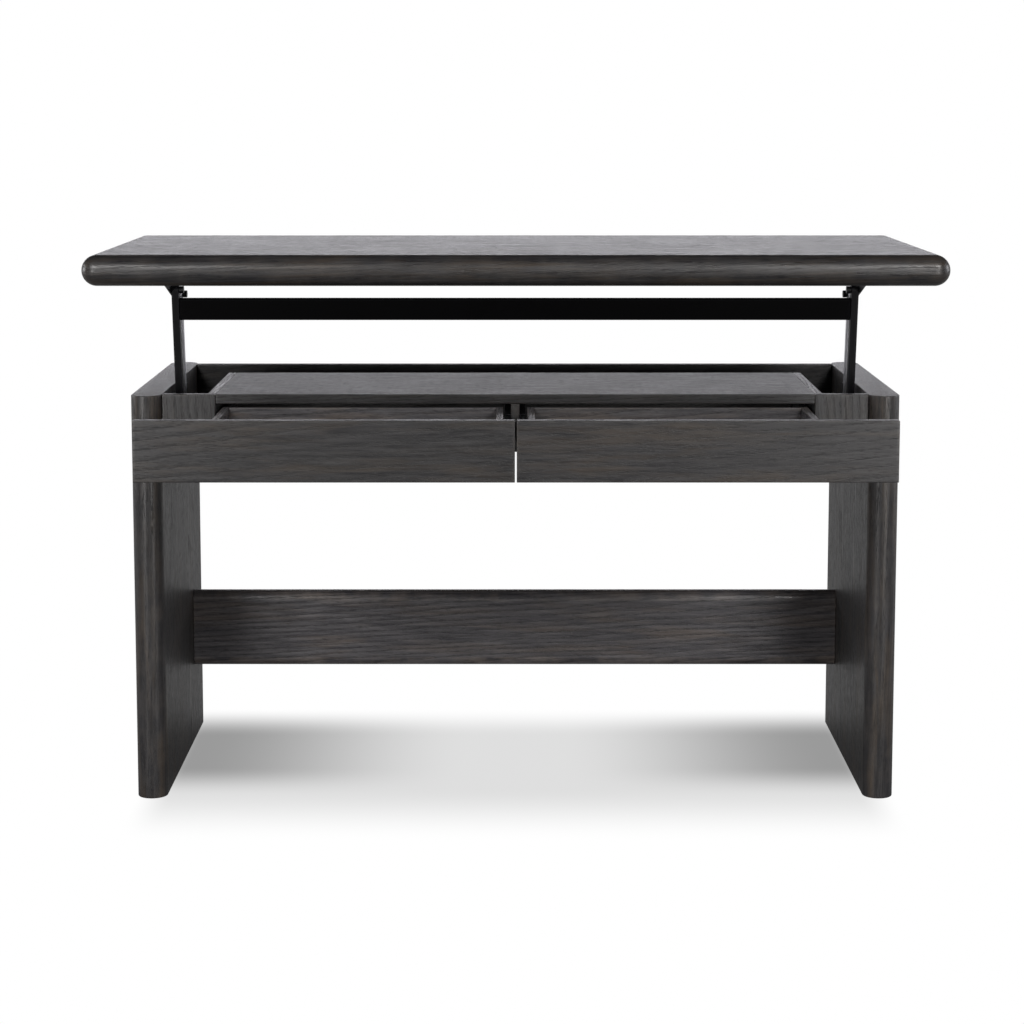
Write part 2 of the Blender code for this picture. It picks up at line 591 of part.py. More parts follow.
def build_springs():
    """A torsion spring round each lower arm bolt, between the arm and the bolt's head."""
    points_per_turn = 10
    count = SPRING_TURNS * points_per_turn + 1
    for side_name, side in SIDES:
        name = side_name + "_counterbalance_spring"
        curve = bpy.data.curves.new(name, "CURVE")
        curve.dimensions = "3D"
        curve.bevel_depth = SPRING_WIRE / 2
        curve.bevel_resolution = 1
        curve.use_fill_caps = True
        spline = curve.splines.new("POLY")
        spline.points.add(count - 1)
        for step, point in enumerate(spline.points):
            turn = 2 * math.pi * step / points_per_turn
            inward = SPRING_WIRE / 2 + SPRING_PITCH * step / points_per_turn
            point.co = (-side * inward, SPRING_RADIUS * math.cos(turn),
                        SPRING_RADIUS * math.sin(turn), 1)
        curve.materials.append(ZINC_STEEL)
        spring = bpy.data.objects.new(name, curve)
        DESK_PARTS.objects.link(spring)
        attach(spring, (side * (ARM_INNER_X - 2 * TOUCH), ARM_PIVOT_Y, ARM_PIVOT_Z), DESK)


def build_top(top):
    add_box("table_top", (-TOP_WIDTH / 2, TOP_CENTRE_Y - TOP_DEPTH / 2, TOP_UNDERSIDE),
            (TOP_WIDTH / 2, TOP_CENTRE_Y + TOP_DEPTH / 2, TOP_UNDERSIDE + TOP_THICKNESS),
            top, TOP_WOOD, "ALL", TOP_THICKNESS / 2 - FULL_ROUND_FLAT)


clear_scene()
DESK_PARTS = make_collection("lift_top_desk")
CUTTERS = make_collection("lift_top_desk_cutters", cutters=True)

TOP_WOOD = make_material("top_wood", (0.055, 0.052, 0.053), 0.45)
LEG_WOOD = make_material("leg_wood", (0.055, 0.052, 0.053), 0.5)
PANEL_WOOD = make_material("panel_wood", (0.060, 0.059, 0.064), 0.5)
SHELF_WOOD = make_material("shelf_wood", (0.058, 0.055, 0.058), 0.45)
APRON_WOOD = make_material("apron_wood", (0.055, 0.053, 0.055), 0.5)
STRETCHER_WOOD = make_material("stretcher_wood", (0.052, 0.050, 0.050), 0.45)
DRAWER_FRONT_WOOD = make_material("drawer_front_wood", (0.056, 0.052, 0.050), 0.5)
DRAWER_BOX_WOOD = make_material("drawer_box_wood", (0.058, 0.056, 0.058), 0.55)
FLOOR_BOARD = make_material("floor_board", (0.030, 0.029, 0.029), 0.7)
BLACK_STEEL = make_material("black_steel", (0.010, 0.010, 0.011), 0.4, 0.6)
ZINC_STEEL = make_material("zinc_steel", (0.45, 0.45, 0.47), 0.35, 1.0)
SLIDE_STEEL = make_material("slide_steel", (0.05, 0.05, 0.055), 0.35, 0.9)
GLIDE_PLASTIC = make_material("glide_plastic", (0.02, 0.02, 0.02), 0.6)

DESK = add_empty("desk", (0, 0, 0))
DESK.location = (0, -(FRONT_MOST_Y + BACK_MOST_Y) / 2, 0)
FRONT_ARMS = add_empty("front_arms", (0, ARM_PIVOT_Y, ARM_PIVOT_Z), DESK)
REAR_LINKS = add_empty("rear_links", (0, LINK_PIVOT_Y, LINK_PIVOT_Z), DESK)
RAISED_TOP = add_empty("raised_top", (0, TOP_PIVOT_Y, TOP_PIVOT_Z), FRONT_ARMS)

build_legs()
build_glides()
build_stretcher()
build_box_panels()
build_floors()
build_drawers()
build_base_plates()
build_arms(FRONT_ARMS, REAR_LINKS)
build_brackets(RAISED_TOP)
build_bolts(RAISED_TOP)
build_springs()
build_top(RAISED_TOP)
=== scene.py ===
"""Charcoal oak lift-top desk: the finished surfaces, built round the fixed frame."""

import json
import math

import bmesh
import bpy
import numpy as np
from mathutils import Matrix, Vector


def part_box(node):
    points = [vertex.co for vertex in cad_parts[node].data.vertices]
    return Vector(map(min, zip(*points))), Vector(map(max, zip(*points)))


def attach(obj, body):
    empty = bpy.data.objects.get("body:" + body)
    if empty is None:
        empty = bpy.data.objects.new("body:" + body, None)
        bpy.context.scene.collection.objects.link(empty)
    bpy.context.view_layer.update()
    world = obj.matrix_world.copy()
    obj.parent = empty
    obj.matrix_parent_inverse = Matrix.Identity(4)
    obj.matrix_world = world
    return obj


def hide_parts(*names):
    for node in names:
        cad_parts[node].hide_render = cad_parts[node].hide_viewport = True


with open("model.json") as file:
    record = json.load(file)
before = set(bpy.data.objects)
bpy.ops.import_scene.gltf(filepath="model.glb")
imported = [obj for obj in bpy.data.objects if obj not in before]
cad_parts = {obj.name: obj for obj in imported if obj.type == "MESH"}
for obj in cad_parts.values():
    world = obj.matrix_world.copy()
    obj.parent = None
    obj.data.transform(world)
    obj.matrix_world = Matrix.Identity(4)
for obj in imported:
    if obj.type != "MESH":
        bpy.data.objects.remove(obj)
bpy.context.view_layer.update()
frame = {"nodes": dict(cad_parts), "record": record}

# ---- Slab legs ---------------------------------------------------------------------
# Two solid oak slabs carry the desk. Their front and back edges are turned to a full
# half round on a spindle moulder, and the whole desk is stained charcoal and lacquered.

LEG_ROUND = 0.0268
LEG_END_EASE = 0.0016
LEG_SEED, LEG_SEED_STEP = 1.3, 2.1
WEAR_WIDTH = 0.004
SHARP_ANGLE = 50
WELD = 1e-6

# The log that a board is cut from: how far apart two boards start along it, the width of a
# leaf of veneer and how much leaves differ, how far the log leans and turns in degrees, how
# deep its pith lies, the ring spacing, and how ragged the rings are and how far they sway.
LOG_SPACING = 1.37
LEAF_WIDTH = 0.186
LEAF_SHIFT_ALONG, LEAF_SHIFT_ASIDE, LEAF_TONE_SPREAD = 3.0, 0.05, 0.14
LOG_LEAN, LOG_TURN = 2.0, 0.8
PITH_DEPTH = 0.035
RING_SPACING = 0.0062
RING_RAGGEDNESS = 0.4
RING_SWAY = 0.016

# How fast each part of the grain changes along the board, across it and through it, per metre.
SWAY_GRAIN = (2.0, 10, 10)
BROAD_STREAKS = (4.5, 42, 42)
FINE_STREAKS = (11, 170, 170)
FIBRE = (26, 520, 520)
PORES = (70, 1500, 1500)
RUBBED_PATCHES = (30, 30, 30)

# The stain's colours, and how much of the light the early wood, the fibre and the pores keep.
STAIN_DARK = (0.0100, 0.0095, 0.0108)
STAIN_LIGHT = (0.0250, 0.0238, 0.0250)
STAIN_BROWN = (0.0370, 0.0275, 0.0195)
STAIN_RUBBED = (0.060, 0.050, 0.042)
EARLY_WOOD_KEEPS = (0.26, 0.25, 0.27)
FIBRE_KEEPS = (0.35, 0.34, 0.35)
PORES_KEEP = (0.22, 0.21, 0.22)
FIBRE_SHARE, PORE_SHARE, PORE_CROWDING, RUBBED_SHARE = 0.45, 0.8, 0.16, 0.2
GRAIN_BUMP_STRENGTH, GRAIN_BUMP_DEPTH = 0.38, 0.00022


def section_ring(half, corner, inset, arc_steps, wear_width):
    """A rectangle with round corners, pulled in by inset, as (points, wear).

    Round each corner, point = corner centre + (corner - inset) * (cos t, sin t). One more
    point on the flat either side, wear_width away, ends the worn band.
    """
    angles = np.linspace(0, math.pi / 2, arc_steps + 1)
    rows, wear = [], []
    for quarter, (sx, sy) in enumerate(((1, 1), (-1, 1), (-1, -1), (1, -1))):
        turn = angles + quarter * math.pi / 2
        centre = np.array((sx, sy)) * (half - corner)
        out = np.stack((np.cos(turn), np.sin(turn)), 1)
        arc = centre + (corner - inset) * out
        along_first = np.array((-out[0, 1], out[0, 0]))
        along_last = np.array((-out[-1, 1], out[-1, 0]))
        rows += [arc[:1] - along_first * wear_width, arc, arc[-1:] + along_last * wear_width]
        wear += [0.0] + [1.0] * (arc_steps + 1) + [0.0]
    return np.concatenate(rows), np.array(wear)


def board_arrays(low, high, axis, corner, ease, arc_steps=6):
    """A closed board: section_ring carried along one axis, its two ends eased over.

    Over an end, inset = ease * (1 - sin a) and depth = ease * (1 - cos a), a from 0 to 90.
    """
    low, high = np.array(low, float), np.array(high, float)
    across = [i for i in range(3) if i != axis]
    if axis == 1:
        across.reverse()
    middle = (low + high) / 2
    half = (high - low)[across] / 2
    length = high[axis] - low[axis]
    ease = min(ease, corner)
    band = min(WEAR_WIDTH, 0.4 * (half.min() - corner))
    end_band = min(WEAR_WIDTH, 0.4 * (length - 2 * ease))
    turn = np.linspace(0, math.pi / 2, arc_steps + 1)
    depth = ease * (1 - np.cos(turn))
    inset = ease * (1 - np.sin(turn))
    steps = np.concatenate((depth, [ease + end_band]))
    insets = np.concatenate((inset, [0.0]))
    wears = np.concatenate((np.ones(arc_steps + 1), [0.0]))
    stations = np.concatenate((steps, length - steps[::-1])) + low[axis]
    insets = np.concatenate((insets, insets[::-1]))
    wears = np.concatenate((wears, wears[::-1]))
    points, wear = [], []
    for station, pulled, worn in zip(stations, insets, wears):
        ring, ring_wear = section_ring(half, corner, pulled, arc_steps, band)
        row = np.empty((len(ring), 3))
        row[:, across] = ring + middle[across]
        row[:, axis] = station
        points.append(row)
        wear.append(np.maximum(ring_wear, worn))
    count = len(points[0])
    rings = len(points)
    point = np.arange(rings * count).reshape(rings, count)
    following = np.roll(point, -1, axis=1)
    quads = np.stack((point[:-1], following[:-1], following[1:], point[1:]), 2).reshape(-1, 4)
    faces = quads.tolist() + [point[0, ::-1].tolist(), point[-1].tolist()]
    return np.concatenate(points), faces, np.concatenate(wear)


def make_piece(name, arrays, body, material, stands_for):
    """A closed mesh at the origin, with its wear kept as an attribute, riding on a body."""
    points, faces, wear = arrays
    mesh = bpy.data.meshes.new(name)
    mesh.from_pydata(points.tolist(), [], faces)
    worn = mesh.attributes.new("wear", "FLOAT", "POINT")
    worn.data.foreach_set("value", wear.astype(np.float32))
    tidy = bmesh.new()
    tidy.from_mesh(mesh)
    bmesh.ops.remove_doubles(tidy, verts=tidy.verts, dist=WELD)
    bmesh.ops.recalc_face_normals(tidy, faces=tidy.faces)
    tidy.to_mesh(mesh)
    tidy.free()
    mesh.shade_smooth()
    mesh.set_sharp_from_angle(angle=math.radians(SHARP_ANGLE))
    mesh.materials.append(material)
    piece = bpy.data.objects.new(name, mesh)
    bpy.context.scene.collection.objects.link(piece)
    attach(piece, body)
    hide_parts(stands_for)


def link(tree, source, output, target, socket):
    """Joins one node's output to another node's socket."""
    tree.links.new(source.outputs[output], target.inputs[socket])


def add_node(tree, kind, **settings):
    """A new node with its settings in place."""
    node = tree.nodes.new(kind)
    for key, value in settings.items():
        setattr(node, key, value)
    return node


def new_material(name):
    """A node material, as (material, node tree, its Principled shader)."""
    made = bpy.data.materials.new(name)
    made.use_nodes = True
    return made, made.node_tree, made.node_tree.nodes["Principled BSDF"]


def raise_surface(tree, height, shader, strength, depth):
    """Bump on the shader from a height, which is a node's output pair."""
    bump = add_node(tree, "ShaderNodeBump")
    bump.inputs["Strength"].default_value = strength
    bump.inputs["Distance"].default_value = depth
    link(tree, *height, bump, "Height")
    link(tree, bump, "Normal", shader, "Normal")


def stretched_noise(tree, coordinates, stretch, detail, roughness, distortion=0.0):
    """Noise that is drawn out along the board: stretch is how fast it changes along X, Y and Z."""
    mapping = add_node(tree, "ShaderNodeMapping")
    mapping.inputs["Scale"].default_value = stretch
    link(tree, coordinates, "Vector", mapping, "Vector")
    noise = add_node(tree, "ShaderNodeTexNoise")
    noise.inputs["Scale"].default_value = 1.0
    noise.inputs["Detail"].default_value = detail
    noise.inputs["Roughness"].default_value = roughness
    noise.inputs["Distortion"].default_value = distortion
    link(tree, mapping, "Vector", noise, "Vector")
    return noise


def ramp(tree, source, output, stops):
    """A colour ramp through (position, grey or colour) stops."""
    node = add_node(tree, "ShaderNodeValToRGB")
    elements = node.color_ramp.elements
    while len(elements) < len(stops):
        elements.new(1.0)
    for element, (position, value) in zip(elements, stops):
        element.position = position
        element.color = (*value, 1.0) if isinstance(value, tuple) else (value, value, value, 1.0)
    link(tree, source, output, node, "Fac")
    return node


def blend_colours(tree, kind, factor, first, second):
    """Mixes two colours; each is a node's output pair or a plain colour."""
    node = add_node(tree, "ShaderNodeMix", data_type="RGBA", blend_type=kind)
    for socket, value in ((0, factor), (6, first), (7, second)):
        if isinstance(value, tuple) and hasattr(value[0], "outputs"):
            tree.links.new(value[0].outputs[value[1]], node.inputs[socket])
        elif isinstance(value, tuple):
            node.inputs[socket].default_value = (*value, 1.0)
        else:
            node.inputs[socket].default_value = value
    return node


def combine(tree, operation, *values):
    """A Math node; each value is a node's output pair or a plain number."""
    node = add_node(tree, "ShaderNodeMath", operation=operation)
    for socket, value in enumerate(values):
        if isinstance(value, tuple):
            tree.links.new(value[0].outputs[value[1]], node.inputs[socket])
        else:
            node.inputs[socket].default_value = value
    return node


def grain_frame(low, high, grain, face, seed):
    """Rotation and shift that lay a board along X, face up, with its middle at the leaf's middle.

    The rows of the rotation are the grain's axis, the axis across it, and the face's axis.
    """
    along, up = (Vector([float(i == axis) for i in range(3)]) for axis in (grain, face))
    turn = Matrix((along, up.cross(along), up))
    middle = (Vector(low) + Vector(high)) / 2
    shift = Vector((seed * LOG_SPACING, LEAF_WIDTH / 2, 0)) - turn @ middle
    return turn.to_euler("XYZ"), shift


def veneer_leaves(tree, board, seed):
    """Splits a wide face into leaves: each has its own stretch of log and its own pith depth.

    Leaf number = floor(across / width). Across becomes the distance from that leaf's middle.
    Returns the place in the log, and the leaf's three random numbers.
    """
    split = add_node(tree, "ShaderNodeSeparateXYZ")
    link(tree, board, "Vector", split, "Vector")
    widths = combine(tree, "DIVIDE", (split, "Y"), LEAF_WIDTH)
    number = combine(tree, "FLOOR", (widths, "Value"))
    chance = add_node(tree, "ShaderNodeTexWhiteNoise", noise_dimensions="2D")
    key = add_node(tree, "ShaderNodeCombineXYZ")
    link(tree, number, "Value", key, "X")
    key.inputs["Y"].default_value = seed
    link(tree, key, "Vector", chance, "Vector")
    start = combine(tree, "MULTIPLY", (number, "Value"), LEAF_WIDTH)
    local = combine(tree, "SUBTRACT", (split, "Y"), (start, "Value"))
    centred = combine(tree, "SUBTRACT", (local, "Value"), LEAF_WIDTH / 2)
    drawn = add_node(tree, "ShaderNodeSeparateXYZ")
    link(tree, chance, "Color", drawn, "Vector")
    along = combine(tree, "MULTIPLY_ADD", (drawn, "X"), LEAF_SHIFT_ALONG, (split, "X"))
    aside = combine(tree, "MULTIPLY_ADD", (drawn, "Y"), LEAF_SHIFT_ASIDE, (centred, "Value"))
    depth = combine(tree, "MULTIPLY_ADD", (drawn, "Z"), LEAF_SHIFT_ASIDE, (split, "Z"))
    leaf = add_node(tree, "ShaderNodeCombineXYZ")
    for socket, value in (("X", along), ("Y", aside), ("Z", depth)):
        link(tree, value, "Value", leaf, socket)
    return leaf, drawn


def stained_oak(name, low, high, grain, face, seed, tone=1.0, figure=0.6, warmth=0.5,
                gloss=0.38):
    """Charcoal-stained, lacquered oak for the board between low and high.

    Growth rings are wavy cylinders round the log's middle line, which leans a few degrees to
    the board, so a face cuts them in pointed arches. Pores crowd along the rings, fine fibre
    and brown streaks run with the grain, and rubbed edges show lighter.
    """
    made, tree, shader = new_material(name)
    place = add_node(tree, "ShaderNodeTexCoord")
    board = add_node(tree, "ShaderNodeMapping")
    turn, shift = grain_frame(low, high, grain, face, seed)
    board.inputs["Rotation"].default_value = turn
    board.inputs["Location"].default_value = shift
    link(tree, place, "Object", board, "Vector")
    leaf, drawn = veneer_leaves(tree, board, seed)

    sway = stretched_noise(tree, leaf, SWAY_GRAIN, 3, 0.5)
    lean = add_node(tree, "ShaderNodeMapping")
    lean.inputs["Rotation"].default_value = (0.0, math.radians(LOG_LEAN),
                                             math.radians(LOG_TURN))
    lean.inputs["Location"].default_value = (0.0, 0.0, PITH_DEPTH)
    link(tree, leaf, "Vector", lean, "Vector")
    centred_sway = add_node(tree, "ShaderNodeVectorMath", operation="SUBTRACT")
    link(tree, sway, "Color", centred_sway, 0)
    centred_sway.inputs[1].default_value = (0.5, 0.5, 0.5)
    swayed = add_node(tree, "ShaderNodeVectorMath", operation="MULTIPLY_ADD")
    link(tree, centred_sway, "Vector", swayed, 0)
    swayed.inputs[1].default_value = (0.0, RING_SWAY, RING_SWAY)
    link(tree, lean, "Vector", swayed, 2)
    rings = add_node(tree, "ShaderNodeTexWave", wave_type="RINGS", rings_direction="X",
                     wave_profile="SAW")
    rings.inputs["Scale"].default_value = 2 * math.pi / (20 * RING_SPACING)
    rings.inputs["Distortion"].default_value = RING_RAGGEDNESS
    rings.inputs["Detail"].default_value = 3.0
    rings.inputs["Detail Scale"].default_value = 0.6
    link(tree, swayed, "Vector", rings, "Vector")
    early = ramp(tree, rings, "Fac",
                 ((0.0, 0.1), (0.45, 0.15), (0.80, 0.9), (0.93, 1.0), (1.0, 0.1)))

    fibre = stretched_noise(tree, leaf, FIBRE, 4, 0.62)
    fine_streaks = stretched_noise(tree, leaf, FINE_STREAKS, 3, 0.6)
    broad_streaks = stretched_noise(tree, leaf, BROAD_STREAKS, 4, 0.6, 0.4)
    pores = stretched_noise(tree, leaf, PORES, 1, 0.5)
    crowding = combine(tree, "MULTIPLY", (early, "Color"), PORE_CROWDING)
    crowded = combine(tree, "ADD", (pores, "Fac"), (crowding, "Value"))
    pore_mask = ramp(tree, crowded, "Value", ((0.0, 0.0), (0.62, 0.0), (0.72, 1.0)))

    dark = tuple(tone * value for value in STAIN_DARK)
    light = tuple(tone * value for value in STAIN_LIGHT)
    brown = tuple(tone * value for value in STAIN_BROWN)
    ground = ramp(tree, fine_streaks, "Fac", ((0.32, dark), (0.68, light)))
    brown_mask = ramp(tree, broad_streaks, "Fac", ((0.0, 0.0), (0.48, 0.0), (0.66, 1.0)))
    brown_share = combine(tree, "MULTIPLY", (brown_mask, "Color"), warmth)
    warmed = blend_colours(tree, "MIX", (brown_share, "Value"), (ground, "Color"), brown)
    leaf_tone = add_node(tree, "ShaderNodeMapRange")
    link(tree, drawn, "X", leaf_tone, "Value")
    leaf_tone.inputs["To Min"].default_value = 1 - LEAF_TONE_SPREAD
    leaf_tone.inputs["To Max"].default_value = 1 + LEAF_TONE_SPREAD
    toned = blend_colours(tree, "MULTIPLY", 1.0, (warmed, 2), (leaf_tone, "Result"))
    ring_share = combine(tree, "MULTIPLY", (early, "Color"), figure)
    ringed = blend_colours(tree, "MULTIPLY", (ring_share, "Value"), (toned, 2), EARLY_WOOD_KEEPS)
    fibre_mask = ramp(tree, fibre, "Fac", ((0.38, 0.0), (0.64, 1.0)))
    fibre_share = combine(tree, "MULTIPLY", (fibre_mask, "Color"), FIBRE_SHARE)
    fibred = blend_colours(tree, "MULTIPLY", (fibre_share, "Value"), (ringed, 2), FIBRE_KEEPS)
    pore_share = combine(tree, "MULTIPLY", (pore_mask, "Color"), PORE_SHARE)
    pored = blend_colours(tree, "MULTIPLY", (pore_share, "Value"), (fibred, 2), PORES_KEEP)
    wear = add_node(tree, "ShaderNodeAttribute", attribute_name="wear")
    rub = stretched_noise(tree, leaf, RUBBED_PATCHES, 3, 0.6)
    rub_mask = ramp(tree, rub, "Fac", ((0.40, 0.0), (0.70, 1.0)))
    rubbed = combine(tree, "MULTIPLY", (wear, "Fac"), (rub_mask, "Color"))
    rubbed_share = combine(tree, "MULTIPLY", (rubbed, "Value"), RUBBED_SHARE)
    worn = blend_colours(tree, "MIX", (rubbed_share, "Value"), (pored, 2),
                         tuple(tone * value for value in STAIN_RUBBED))
    tree.links.new(worn.outputs[2], shader.inputs["Base Color"])

    streaked = combine(tree, "ADD", (fibre, "Fac"), (fine_streaks, "Fac"))
    halved = combine(tree, "MULTIPLY", (streaked, "Value"), 0.5)
    grain_rough = combine(tree, "ADD", (halved, "Value"), (pore_share, "Value"))
    rough = ramp(tree, grain_rough, "Value",
                 ((0.38, gloss - 0.07), (0.60, gloss + 0.09), (1.0, gloss + 0.36)))
    link(tree, rough, "Color", shader, "Roughness")
    relief = combine(tree, "MULTIPLY", (fibre, "Fac"), 0.6)
    sunk = combine(tree, "SUBTRACT", (relief, "Value"), (pore_mask, "Color"))
    ring_sink = combine(tree, "MULTIPLY", (early, "Color"), 0.5)
    ridged = combine(tree, "SUBTRACT", (sunk, "Value"), (ring_sink, "Value"))
    raise_surface(tree, (ridged, "Value"), shader, GRAIN_BUMP_STRENGTH, GRAIN_BUMP_DEPTH)
    return made


for number, side in enumerate(("left", "right")):
    node = side + "_leg"
    low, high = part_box(node)
    seed = LEG_SEED + LEG_SEED_STEP * number
    oak = stained_oak(node + "_oak", low, high, 2, 0, seed, tone=1.15, figure=0.4, warmth=0.8)
    make_piece(node + "_slab", board_arrays(low, high, 2, LEG_ROUND, LEG_END_EASE, 10),
               "carcass", oak, node)

# ---- Stretcher ---------------------------------------------------------------------
# One oak rail tenoned between the legs, its top and bottom edges fully rounded. It is a
# plain-sawn board, so its face shows pointed cathedral arches.

STRETCHER_ROUND = 0.0188
STRETCHER_END_EASE = 0.0008
STRETCHER_SEED = 3.1
low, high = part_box("stretcher")
# Painted light: the rail has the desk's charcoal stain, but its tone is raised about fourfold over
# the legs' so that its face reads as lit by low light from the front under the drawers.
rail_oak_with_painted_light = stained_oak("stretcher_oak", low, high, 0, 1, STRETCHER_SEED, tone=4.2,
                       figure=0.5, warmth=0.3, gloss=0.33)
make_piece("stretcher_rail", board_arrays(low, high, 0, STRETCHER_ROUND, STRETCHER_END_EASE, 10),
           "carcass", rail_oak_with_painted_light, "stretcher")

# ---- Box panels --------------------------------------------------------------------
# Veneered boards with eased edges make the box between the legs: two short panels that
# close the wells, the dividers, the shelf over the drawers, and the apron at the back.
# Each row gives the grain axis, the face axis, the tone, the figure, the gloss and the slot.

BOARD_EASE = 0.0013
PANEL_SEED, PANEL_SEED_STEP = 5.3, 1.9
panels = {
    "left_front_panel": (2, 1, 1.0, 0.2, 0.38, "panel_wood"),
    "right_front_panel": (2, 1, 1.0, 0.2, 0.38, "panel_wood"),
    "left_divider": (1, 0, 1.2, 0.4, 0.38, "panel_wood"),
    "right_divider": (1, 0, 1.2, 0.4, 0.38, "panel_wood"),
    "centre_partition": (1, 0, 1.0, 0.4, 0.38, "panel_wood"),
    "compartment_back": (0, 1, 0.5, 0.4, 0.45, "panel_wood"),
    "back_apron": (0, 1, 0.9, 0.4, 0.38, "frame_wood"),
    "shelf_panel": (0, 2, 0.8, 0.5, 0.42, "frame_wood"),
}
for number, (node, (grain, face, tone, figure, gloss, slot)) in enumerate(panels.items()):
    low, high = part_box(node)
    longest = int(np.argmax([b - a for a, b in zip(low, high)]))
    seed = PANEL_SEED + PANEL_SEED_STEP * number
    oak = stained_oak(node + "_oak", low, high, grain, face, seed, tone=tone, figure=figure,
                      warmth=0.35, gloss=gloss)
    make_piece(node + "_board", board_arrays(low, high, longest, BOARD_EASE, BOARD_EASE, 4),
               "carcass", oak, node)

# ---- Well and trough floors --------------------------------------------------------
# Thin dark-faced boards lie in grooves under the two wells and the rear trough.

FLOOR_EASE = 0.0004
FLOOR_SEED = 23.7
for number, node in enumerate(("left_well_floor", "right_well_floor", "trough_floor")):
    low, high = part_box(node)
    longest = int(np.argmax([b - a for a, b in zip(low, high)]))
    oak = stained_oak(node + "_face", low, high, longest, 2, FLOOR_SEED + number, tone=0.7,
                      figure=0.2, warmth=0.1, gloss=0.55)
    make_piece(node + "_board", board_arrays(low, high, longest, FLOOR_EASE, FLOOR_EASE, 3),
               "carcass", oak, node)

# ---- Drawers -----------------------------------------------------------------------
# Each drawer is a veneered front screwed to a box of thin boards, with its bottom let
# into grooves. The fronts have crisp eased edges and no pulls.

DRAWER_FRONT_EASE = 0.0012
DRAWER_WALL_EASE = 0.0008
FRONT_SEED, FRONT_SEED_STEP = 31.1, 3.7
WALL_SEED, WALL_SEED_STEP = 41.9, 4.3
FRONT_TONES = (0.8, 1.0)
for number, side in enumerate(("left", "right")):
    prefix = side + "_drawer_"
    body = side + "_drawer"
    low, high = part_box(prefix + "front")
    seed = FRONT_SEED + FRONT_SEED_STEP * number
    front_oak = stained_oak(prefix + "front_oak", low, high, 0, 1, seed,
                            tone=FRONT_TONES[number], figure=0.28, warmth=0.6)
    make_piece(prefix + "front_board",
               board_arrays(low, high, 0, DRAWER_FRONT_EASE, DRAWER_FRONT_EASE, 5),
               body, front_oak, prefix + "front")
    walls = {"inner_side": (1, 0), "outer_side": (1, 0), "back": (0, 1), "bottom": (0, 2)}
    for count, (wall, (grain, face)) in enumerate(walls.items()):
        node = prefix + wall
        low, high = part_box(node)
        seed = WALL_SEED + WALL_SEED_STEP * number + count
        oak = stained_oak(node + "_oak", low, high, grain, face, seed, tone=3.2, figure=0.4,
                          warmth=0.4, gloss=0.45)
        board = board_arrays(low, high, grain, DRAWER_WALL_EASE, DRAWER_WALL_EASE, 3)
        make_piece(node + "_board", board, body, oak, node)

# ---- Lift arms and crossbar --------------------------------------------------------
# Flat steel arms carry the top, and a steel bar welded between the front pair keeps both
# sides level. They are powder coated black, the bar a darker black as painted shade from the
# top above it; the rear links behind them are zinc plated.

PEEL_DEPTH = 0.0001
BRUSH_DEPTH = 0.00006
PAINT_CLOUDS = (18, 18, 18)
PLATING_CLOUDS = (30, 30, 30)
ORANGE_PEEL = (900, 900, 900)


def powder_coat(name, colour, gloss, shine):
    """Black powder coat: near-black paint with fine orange peel and rubbed, greyer edges."""
    made, tree, shader = new_material(name)
    shader.inputs["Specular IOR Level"].default_value = shine
    place = add_node(tree, "ShaderNodeTexCoord")
    plain = add_node(tree, "ShaderNodeMapping")
    link(tree, place, "Object", plain, "Vector")
    peel = stretched_noise(tree, plain, ORANGE_PEEL, 2, 0.5)
    cloud = stretched_noise(tree, plain, PAINT_CLOUDS, 4, 0.6)
    wear = add_node(tree, "ShaderNodeAttribute", attribute_name="wear")
    rubbed = combine(tree, "MULTIPLY", (wear, "Fac"), (cloud, "Fac"))
    shade = ramp(tree, cloud, "Fac", ((0.3, colour), (0.7, tuple(1.6 * v for v in colour))))
    paint = blend_colours(tree, "MIX", (rubbed, "Value"), (shade, "Color"),
                          tuple(4.0 * v for v in colour))
    tree.links.new(paint.outputs[2], shader.inputs["Base Color"])
    rough = ramp(tree, cloud, "Fac", ((0.3, gloss - 0.06), (0.7, gloss + 0.06)))
    link(tree, rough, "Color", shader, "Roughness")
    raise_surface(tree, (peel, "Fac"), shader, 0.25, PEEL_DEPTH)
    return made


def plated_steel(name, colour, gloss, brush):
    """Zinc-plated steel: brushed along one axis, with dull cloudy patches in the plating."""
    made, tree, shader = new_material(name)
    shader.inputs["Metallic"].default_value = 1.0
    place = add_node(tree, "ShaderNodeTexCoord")
    plain = add_node(tree, "ShaderNodeMapping")
    link(tree, place, "Object", plain, "Vector")
    lines = stretched_noise(tree, plain, brush, 3, 0.6)
    cloud = stretched_noise(tree, plain, PLATING_CLOUDS, 4, 0.6)
    shade = ramp(tree, cloud, "Fac", ((0.3, tuple(0.7 * v for v in colour)), (0.7, colour)))
    tree.links.new(shade.outputs["Color"], shader.inputs["Base Color"])
    rough = ramp(tree, lines, "Fac", ((0.3, gloss - 0.08), (0.7, gloss + 0.12)))
    link(tree, rough, "Color", shader, "Roughness")
    raise_surface(tree, (lines, "Fac"), shader, 0.2, BRUSH_DEPTH)
    return made


def turned_about_x(arrays, angle, pivot):
    """The same piece turned about a line along X: y, z = pivot + rotation(angle) * (y, z)."""
    points, faces, wear = arrays
    y, z = points[:, 1].copy(), points[:, 2].copy()
    points[:, 1] = pivot[1] + math.cos(angle) * y - math.sin(angle) * z
    points[:, 2] = pivot[2] + math.sin(angle) * y + math.cos(angle) * z
    return points, faces, wear


joint = {entry["name"]: entry for entry in frame["record"]["behaviour"]["joints"]}
arm_pivot = joint["lift"]["pos_m"]
link_pivot = joint["rear_link_swing"]["pos_m"]
top_pivot = joint["top_level"]["pos_m"]
rise = top_pivot[2] - arm_pivot[2]
reach = top_pivot[1] - arm_pivot[1]
arm_length = math.hypot(rise, reach)
raised_angle = math.atan2(rise, reach)

